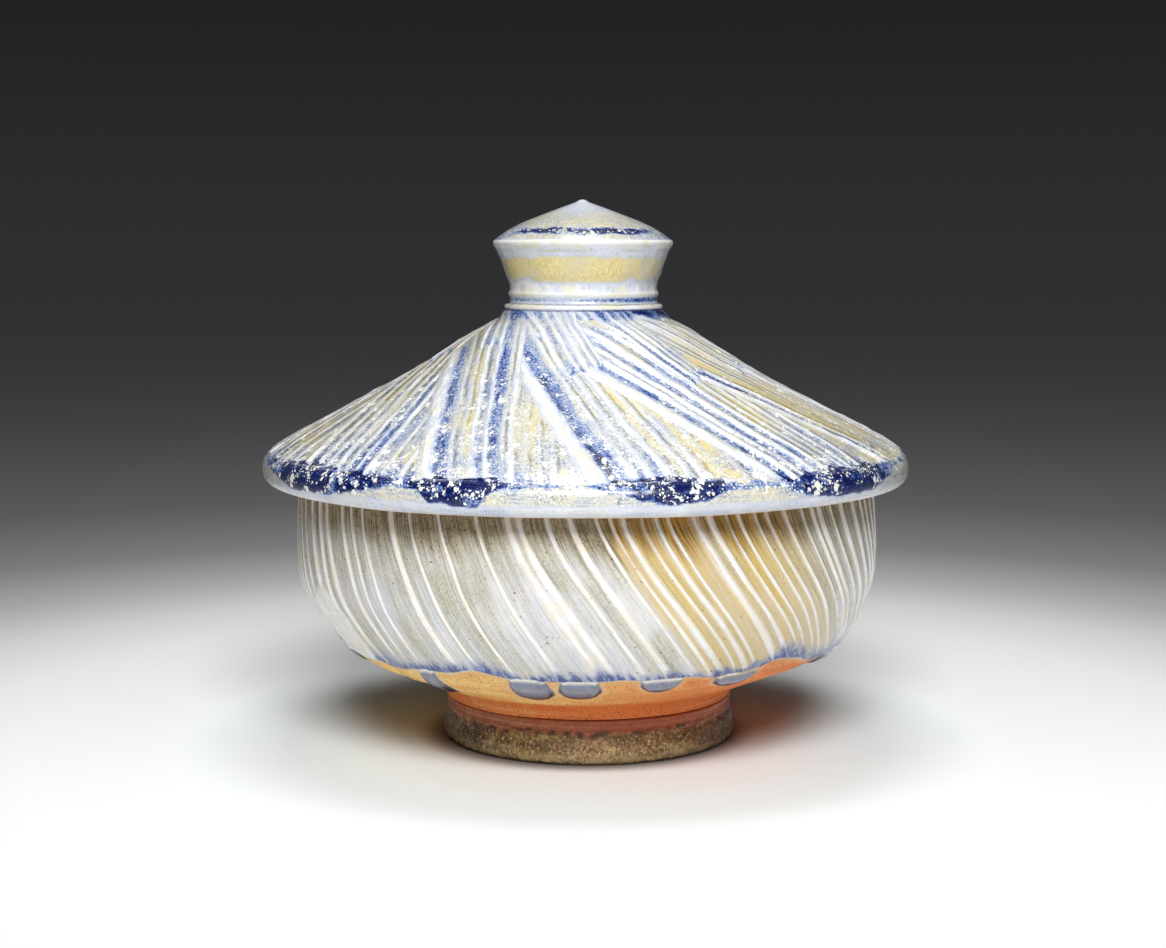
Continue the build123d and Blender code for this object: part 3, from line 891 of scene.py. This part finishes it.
class Nodes:
    """A short way to write the nodes of a material or a world."""

    def __init__(self, owner):
        self.owner = owner
        owner.use_nodes = True
        self.tree = owner.node_tree
        self.tree.nodes.clear()
        self.from_place = self.make("ShaderNodeTexCoord", {})
        self.place = self.from_place["Object"]

    def make(self, kind, inputs, **settings):
        """Adds a node, sets or links its inputs, and returns its outputs."""
        node = self.tree.nodes.new(kind)
        for key, value in settings.items():
            setattr(node, key, value)
        for key, value in inputs.items():
            self.put(node.inputs[key], value)
        return node.outputs

    def put(self, socket, value):
        if isinstance(value, bpy.types.NodeSocket):
            self.tree.links.new(value, socket)
        else:
            socket.default_value = value

    def marks(self, names):
        """The marks of the mesh with these names, which are given in one string."""
        return [self.make("ShaderNodeAttribute", {}, attribute_name=name)["Fac"] for name in names.split()]

    def maths(self, operation, a, b):
        return self.make("ShaderNodeMath", {0: a, 1: b}, operation=operation)[0]

    def times(self, a, b):
        return self.maths("MULTIPLY", a, b)

    def plus(self, a, b):
        return self.maths("ADD", a, b)

    def range(self, value, low, high, to_low=0.0, to_high=1.0):
        inputs = dict(enumerate((value, low, high, to_low, to_high)))
        return self.make("ShaderNodeMapRange", inputs, interpolation_type="SMOOTHSTEP")[0]

    def weigh(self, *pairs):
        """The sum of (value, weight) pairs."""
        total = self.times(*pairs[0])
        for value, weight in pairs[1:]:
            total = self.plus(total, self.times(value, weight))
        return total

    def mix(self, amount, a, b):
        return self.make("ShaderNodeMix", {0: amount, 6: a, 7: b}, data_type="RGBA")[2]

    def over(self, base, amount, *tint):
        """A colour over base."""
        return self.mix(amount, base, colour(*tint))

    def between(self, value, low, high, first, second):
        """A change from the first colour to the second as value goes from low to high."""
        return self.mix(self.range(value, low, high), colour(*first), colour(*second))

    def speckled(self, base, layers):
        """Layers of noise-shaped specks: (size, detail, roughness), low, high, strength, colour."""
        for grain, low, high, strength, tint in layers:
            base = self.over(base, self.range(self.noise(*grain), low, high, 0, strength), *tint)
        return base

    def noise(self, size, detail=3.0, roughness=0.55):
        """Noise with features about size millimetres across."""
        inputs = {"Vector": self.place, "Scale": 1 / (size * MM), "Detail": detail, "Roughness": roughness}
        return self.make("ShaderNodeTexNoise", inputs)["Fac"]

    def streaks(self, size, detail=2.0):
        """Noise drawn out along the strokes, about size millimetres wide."""
        flow = self.make("ShaderNodeAttribute", {}, attribute_name="flow")["Vector"]
        return self.make("ShaderNodeTexNoise", {"Vector": flow, "Scale": 1 / size, "Detail": detail})["Fac"]

    def flecks(self, size, density, ragged=0.5):
        """Ragged specks on a share of cells about size millimetres across. density is that share."""
        fine = {"Vector": self.place, "Scale": 1 / (size * 0.45 * MM), "Detail": 2.0}
        shaken = self.make("ShaderNodeTexNoise", fine)["Color"]
        inputs = {0: shaken, 1: (ragged * size * MM,) * 3, 2: self.place}
        moved = self.make("ShaderNodeVectorMath", inputs, operation="MULTIPLY_ADD")[0]
        cell = self.make("ShaderNodeTexVoronoi", {"Vector": moved, "Scale": 1 / (size * MM)})
        chance = self.make("ShaderNodeSeparateColor", {0: cell["Color"]})
        reach = self.range(chance[1], 0.0, 1.0, 0.22, 0.5)
        here = self.range(self.plus(cell["Distance"], self.times(reach, -1.0)), -0.07, 0.03, 1.0, 0.0)
        chosen = self.range(self.plus(density, self.times(chance[0], -1.0)), -0.02, 0.04)
        return self.times(here, chosen)

    def finish(self, base, roughness, height, bump_mm, **inputs):
        """Ends a material with its surface shader, with bumps of bump_mm from height."""
        bumps = self.make("ShaderNodeBump", {"Distance": bump_mm * MM, "Height": height})[0]
        inputs = {name.replace("_", " "): value for name, value in inputs.items()}
        inputs |= {"Base Color": base, "Roughness": roughness, "Normal": bumps}
        self.make("ShaderNodeOutputMaterial", {"Surface": self.make("ShaderNodeBsdfPrincipled", inputs)[0]})
        return self.owner


def clay_colour(n, tone=None, turning=None):
    """Bare stoneware: tan to orange-red, with turning lines and fine specks."""
    base = n.between(n.noise(9, 4), 0.35, 0.7, (254, 216, 136), (240, 180, 92))
    if tone is not None:
        # tone deepens the clay to orange-red; on the bowl's neck this is painted shade
        base = n.over(base, n.times(tone, 0.9), 232, 110, 34)
    if turning is not None:
        base = n.over(base, n.range(turning, 0.6, 0.75, 0, 0.25), 250, 212, 146)
        base = n.over(base, n.range(turning, 0.38, 0.25, 0, 0.25), 176, 84, 26)
    return n.speckled(base, [
        ((0.8, 2), 0.6, 0.75, 0.35, (236, 196, 134)),
        ((1.1, 4, 0.75), 0.5, 0.64, 0.28, (196, 112, 50)),
        ((0.55, 1), 0.6, 0.66, 0.7, (84, 48, 28)),
    ])  # fmt: skip


def ramp(n, amount, stops):
    """A colour ramp from (position, colour) stops."""
    outputs = n.make("ShaderNodeValToRGB", {0: amount})
    elements = outputs[0].node.color_ramp.elements
    elements[0].position, elements[0].color = stops[0]
    elements[1].position, elements[1].color = stops[-1]
    for position, tint in stops[1:-1]:
        elements.new(position).color = tint
    return outputs[0]


COBALT = [
    (0.0, colour(184, 194, 214)), (0.3, colour(136, 156, 198)), (0.55, colour(82, 110, 172)),
    (0.8, colour(30, 58, 132)), (1.0, colour(8, 20, 80)),
]  # fmt: skip


def glaze_material(name):
    """White slip over cobalt and ochre under a clear glossy glaze, with white flecks in the cobalt."""
    n = Nodes(bpy.data.materials.new(name))
    slip, cobalt, ochre, fleck, bare, shade = n.marks("slip cobalt ochre fleck bare shade")
    grain = n.noise(0.6, 3, 0.6)
    streak = n.streaks(0.55)
    cloud = n.noise(11, 4)
    cool = n.between(streak, 0.36, 0.62, (158, 168, 186), (206, 210, 212))
    base = n.mix(n.range(n.plus(cloud, n.times(streak, 0.3)), 0.45, 0.85), cool, colour(222, 216, 188))
    base = n.over(base, n.range(grain, 0.48, 0.6, 0, 0.7), 238, 238, 230)
    speckle = n.times(n.range(n.noise(0.75, 3, 0.6), 0.50, 0.62), n.range(fleck, 0.0, 0.08, 0.12, 0.8))
    base = n.over(base, speckle, 110, 124, 150)
    warm = n.between(n.weigh((grain, 0.5), (streak, 0.5)), 0.38, 0.62, (240, 226, 168), (219, 198, 122))
    base = n.mix(n.times(ochre, n.range(cloud, 0.25, 0.6, 0.6, 1.0)), base, warm)
    deep = n.times(cobalt, n.range(n.noise(1.3, 4, 0.65), 0.3, 0.62, 0.6, 1.15))
    deep = n.times(deep, n.range(streak, 0.3, 0.65, 1.12, 0.75))
    solid = n.range(cobalt, 0.75, 1.05)
    grains = n.maths("MAXIMUM", n.range(n.noise(0.55, 3, 0.6), 0.36, 0.6, 1.35, 0.5), n.times(solid, 1.05))
    deep = n.times(deep, grains)
    base = n.mix(n.range(deep, 0.04, 0.36), base, ramp(n, deep, COBALT))
    white = n.between(n.noise(7, 2), 0.42, 0.62, (240, 241, 244), (238, 233, 210))
    worn = n.weigh((n.noise(0.8, 3, 0.6), 0.5), (streak, 0.5))
    cover = n.times(slip, n.range(worn, 0.34, 0.56, 0.72, 1.12))
    base = n.over(base, n.range(cover, 0.08, 0.5, 0, 0.75), 204, 213, 234)
    base = n.mix(n.range(cover, 0.4, 0.9), base, white)
    # the shade mark's colour: dark lines beside the lid's strokes, specks on the knob's cap, and painted
    # shade on the lid's flanks
    dark_marks_and_side_shade = n.between(n.noise(14, 2), 0.4, 0.6, (84, 88, 72), (92, 98, 112))
    base = n.mix(n.times(shade, 0.75), base, dark_marks_and_side_shade)
    chip = n.plus(n.flecks(1.5, n.times(fleck, 0.9), 0.9), n.flecks(0.75, fleck, 0.6))
    chip = n.plus(n.flecks(2.6, n.times(fleck, 0.75), 0.9), chip)
    salt = n.times(n.range(n.noise(0.5, 2, 0.5), 0.54, 0.61), n.range(fleck, 0.05, 0.4, 0.0, 0.8))
    salt = n.times(salt, n.range(solid, 0.0, 1.0, 1.0, 0.25))
    base = n.over(base, salt, 222, 228, 232)
    base = n.over(base, n.range(chip, 0.1, 0.8), 244, 246, 238)
    base = n.mix(bare, base, clay_colour(n))
    rough = n.plus(n.range(n.noise(5, 3), 0.3, 0.7, 0.18, 0.34), n.times(bare, 0.4))
    surface = n.weigh((n.noise(0.8, 3), 0.5), (streak, 0.7), (chip, 0.5))
    gloss = n.range(bare, 0, 1, 0.35, 0.0)
    return n.finish(base, rough, surface, 0.09, Coat_Weight=gloss, Coat_Roughness=0.08)


def bowl_material():
    """Glaze over combed slip, a plain glaze inside, and bare clay below the glaze line and at the rim."""
    n = Nodes(bpy.data.materials.new("bowl_glaze"))
    slip, shade, iron, ochre, milky, cobalt = n.marks("slip shade iron ochre milky cobalt")
    bare, drip, pool, halo, rim, tone, turning = n.marks("bare drip pool halo rim tone turning")
    grain = n.noise(0.5, 3, 0.6)
    streak = n.streaks(0.5)
    cloud = n.noise(9, 4)
    base = n.between(streak, 0.36, 0.64, (180, 176, 158), (208, 203, 188))
    base = n.over(base, n.range(cloud, 0.4, 0.7, 0, 0.6), 194, 196, 192)
    base = n.over(base, n.times(shade, 0.6), 146, 142, 124)
    base = n.over(base, n.range(grain, 0.52, 0.7, 0, 0.35), 228, 226, 214)
    base = n.speckled(base, [((0.7, 3, 0.65), 0.52, 0.62, 0.5, (140, 132, 108))])
    # painted shade under the lid's overhang: a darker olive-brown for the bowl's top
    dark = n.between(streak, 0.38, 0.62, (120, 109, 82), (180, 166, 136))
    dark = n.speckled(dark, [((0.8, 3, 0.7), 0.5, 0.62, 0.6, (66, 50, 28))])
    base = n.mix(n.times(iron, n.range(grain, 0.35, 0.65, 1.0, 0.75)), base, dark)
    # the golden streaks turn brown in the same painted shade
    brown = n.between(streak, 0.4, 0.6, (140, 102, 28), (190, 150, 66))
    gold = n.mix(iron, colour(208, 178, 96), brown)
    base = n.mix(n.times(ochre, n.range(streak, 0.3, 0.6, 0.55, 1.0)), base, gold)
    milk = n.between(n.noise(6, 2), 0.4, 0.65, (222, 221, 222), (208, 211, 222))
    base = n.mix(n.times(milky, n.range(streak, 0.3, 0.6, 0.5, 0.9)), base, milk)
    white = n.between(n.noise(5, 2), 0.4, 0.6, (237, 237, 237), (235, 228, 215))
    cover = n.times(slip, n.range(n.weigh((grain, 0.4), (streak, 0.6)), 0.34, 0.58, 0.7, 1.12))
    cloudy = n.weigh((n.noise(2.0, 4, 0.65), 0.5), (streak, 0.5))
    deep = n.times(cobalt, n.range(cloudy, 0.34, 0.58, 0.55, 1.1))
    base = n.mix(n.range(cover, 0.10, 0.8), base, white)
    blue = n.between(deep, 0.35, 0.9, (136, 150, 186), (56, 74, 134))
    base = n.mix(n.range(deep, 0.08, 0.75), base, blue)
    thick = n.plus(pool, n.times(n.noise(2.5, 3), 0.4))
    slate = n.between(thick, 0.25, 0.8, (132, 136, 150), (24, 26, 52))
    slate = n.over(slate, n.times(drip, n.range(streak, 0.35, 0.6, 0.0, 0.35)), 70, 82, 132)
    base = n.mix(drip, base, slate)
    speck = n.flecks(0.8, n.range(n.noise(8, 2), 0.42, 0.62, 0.005, 0.06), 0.5)
    base = n.over(base, n.times(speck, n.range(cover, 0.2, 0.8, 0.75, 0.1)), 78, 56, 40)
    clay = n.mix(n.times(halo, 0.5), clay_colour(n, tone, turning), colour(236, 200, 146))
    raw = n.maths("MAXIMUM", bare, rim)
    base = n.mix(raw, base, clay)
    rough = n.plus(n.range(n.noise(5, 3), 0.3, 0.7, 0.16, 0.3), n.times(raw, 0.36))
    surface = n.weigh((n.noise(0.8, 3), 0.4), (streak, 0.6), (raw, n.noise(0.4, 2)))
    gloss = n.range(raw, 0, 1, 0.35, 0.0)
    return n.finish(base, rough, surface, 0.09, Coat_Weight=gloss, Coat_Roughness=0.08)


def clay_material(name):
    """Bare clay with turning lines."""
    n = Nodes(bpy.data.materials.new(name))
    base = clay_colour(n, turning=n.marks("turning")[0])
    return n.finish(base, n.range(n.noise(3, 3), 0.3, 0.7, 0.55, 0.75), n.noise(0.45, 3), 0.12)


def foot_material():
    """A pinkish bare band over a mottled olive-brown ash skin."""
    n = Nodes(bpy.data.materials.new("bare_foot"))
    ash, line, lower, tone = n.marks("ash line lower tone")
    turning, smear, sides, toe = n.marks("turning smear sides toe")
    band = n.between(n.noise(4, 4), 0.35, 0.65, (156, 82, 42), (178, 100, 56))
    band = n.over(band, n.times(tone, 0.7), 184, 88, 48)
    band = n.over(band, n.range(turning, 0.55, 0.75, 0, 0.5), 208, 152, 122)
    skin = n.between(smear, 0.3, 0.7, (92, 70, 34), (206, 176, 116))
    skin = n.speckled(skin, [((7, 3), 0.48, 0.66, 0.7, (140, 88, 50))])
    skin = n.over(skin, n.times(tone, 0.35), 132, 82, 50)
    # painted shade on the foot's flanks
    skin = n.over(skin, n.times(sides, 0.6), 60, 42, 22)
    skin = n.speckled(skin, [
        ((1.6, 4, 0.7), 0.54, 0.68, 0.45, (190, 172, 134)),
        ((1.9, 4, 0.7), 0.55, 0.66, 0.75, (52, 38, 20)),
        ((1.1, 4, 0.8), 0.48, 0.6, 0.7, (56, 44, 20)),
        ((0.9, 3, 0.75), 0.54, 0.64, 0.75, (220, 206, 164)),
    ])  # fmt: skip
    skin = n.over(skin, n.times(lower, n.range(n.noise(3, 3), 0.4, 0.6, 0.2, 0.8)), 178, 156, 118)
    # painted contact shadow along the foot's bottom edge
    skin = n.over(skin, n.times(toe, 0.8), 44, 34, 24)
    base = n.mix(ash, band, skin)
    base = n.over(base, n.times(line, 0.85), 48, 34, 24)
    base = n.speckled(base, [((0.6, 1), 0.66, 0.72, 0.7, (44, 32, 24))])
    rough = n.range(n.noise(1.8, 3), 0.35, 0.7, 0.24, 0.5)
    return n.finish(base, rough, n.plus(n.noise(0.9, 3), n.times(turning, 0.5)), 0.3)


# ---------------------------------------------------------------- stage, lights and camera

CAMERA_DISTANCE, CAMERA_HEIGHT, CAMERA_PITCH = 0.620, 0.1517, 6.43
CAMERA_SIDE = -0.0008
LENS, SENSOR = 61.4, 36.0
FLOOR_RADIUS = 12
FLOOR_SPREAD = 0.5  # distance from the axis that falls halfway along the floor's colour ramp
# the floor's painted light: distance from the axis in metres, and the colour there
# The fall from white near the pot to grey far off is a painted pool of light, the faint blue near the pot is
# painted to cancel the warm light bounced off the clay, and the darker first tone is a painted contact shadow
# round the foot.
FLOOR_PAINTED_LIGHT = [
    (0.046, 140, 138, 138), (0.053, 236, 245, 250), (0.09, 246, 254, 255), (0.135, 249, 251, 253),
    (0.175, 253, 253, 253), (0.21, 250, 250, 251), (0.26, 234, 234, 235), (0.32, 198, 198, 199),
    (0.42, 148, 148, 149), (0.6, 110, 110, 110), (1.2, 96, 96, 96),
]  # fmt: skip


def make_camera():
    """The photo's viewpoint."""
    camera = bpy.data.objects.new("camera", bpy.data.cameras.new("camera"))
    camera.data.lens, camera.data.sensor_width = LENS, SENSOR
    camera.data.clip_start, camera.data.clip_end = 0.02, 20
    camera.location = (CAMERA_SIDE, -CAMERA_DISTANCE, CAMERA_HEIGHT)
    camera.rotation_euler = (math.radians(90 - CAMERA_PITCH), 0, 0)
    bpy.context.scene.collection.objects.link(camera)
    bpy.context.scene.camera = camera


def make_floor():
    """A pale round floor with painted light: its colour falls from white near the pot into the dark, with a
    painted contact shadow round the foot and a faint painted glow far off, so that it meets the backdrop's
    tone all round.
    """
    mesh = bpy.data.meshes.new("floor")
    turns = np.linspace(0, 2 * math.pi, 96, endpoint=False)
    corners = [(FLOOR_RADIUS * math.cos(a), FLOOR_RADIUS * math.sin(a), 0) for a in turns]
    mesh.from_pydata(corners, [], [list(range(len(corners)))])
    n = Nodes(bpy.data.materials.new("floor"))
    away = n.make("ShaderNodeVectorMath", {0: n.place}, operation="LENGTH")["Value"]
    spread = n.maths("DIVIDE", away, n.plus(away, FLOOR_SPREAD))
    # painted light: the floor's colour by distance from the axis
    tones = ramp(n, spread, [(r / (r + FLOOR_SPREAD), colour(*tone)) for r, *tone in FLOOR_PAINTED_LIGHT])
    # painted glow: the far floor gives off a faint grey light of its own
    glow = {"Emission_Color": colour(44, 44, 46), "Emission_Strength": n.range(away, 0.2, 0.6)}
    material = n.finish(tones, 0.6, n.noise(2, 2), 0.02, **glow)
    mesh.materials.append(material)
    floor = bpy.data.objects.new("floor", mesh)
    bpy.context.scene.collection.objects.link(floor)


def make_world():
    """A dark grey room, a little darker higher up."""
    world = bpy.data.worlds.new("studio")
    n = Nodes(world)
    up = n.make("ShaderNodeSeparateXYZ", {0: n.from_place["Generated"]})["Z"]
    tones = ramp(n, up, [(0.0, colour(47, 47, 49)), (0.13, colour(33, 31, 32))])
    background = n.make("ShaderNodeBackground", {"Color": tones, "Strength": 1.0})[0]
    n.make("ShaderNodeOutputWorld", {"Surface": background})
    bpy.context.scene.world = world


def area_light(name, place, target, size, power):
    """A white rectangular light at place that faces target."""
    light = bpy.data.lights.new(name, "AREA")
    light.shape, light.size, light.size_y = "RECTANGLE", *size
    light.energy = power
    lamp = bpy.data.objects.new(name, light)
    lamp.location = place
    lamp.rotation_euler = (Vector(target) - Vector(place)).to_track_quat("-Z", "Y").to_euler()
    bpy.context.scene.collection.objects.link(lamp)


def make_lights():
    """A large light over the camera and a smaller one above the pot."""
    middle = (0, 0, 0.08)
    area_light("key", (0.05, -1.02, 0.88), middle, (0.6, 0.45), 18.5)
    area_light("overhead", (0, 0.06, 1.1), middle, (0.4, 0.35), 4.5)


make_camera()
make_world()
make_floor()
make_lights()
make_lid()
make_bowl()
make_foot()
make_flange()
make_collar()
make_knob()
bpy.context.scene.view_settings.view_transform = "Standard"
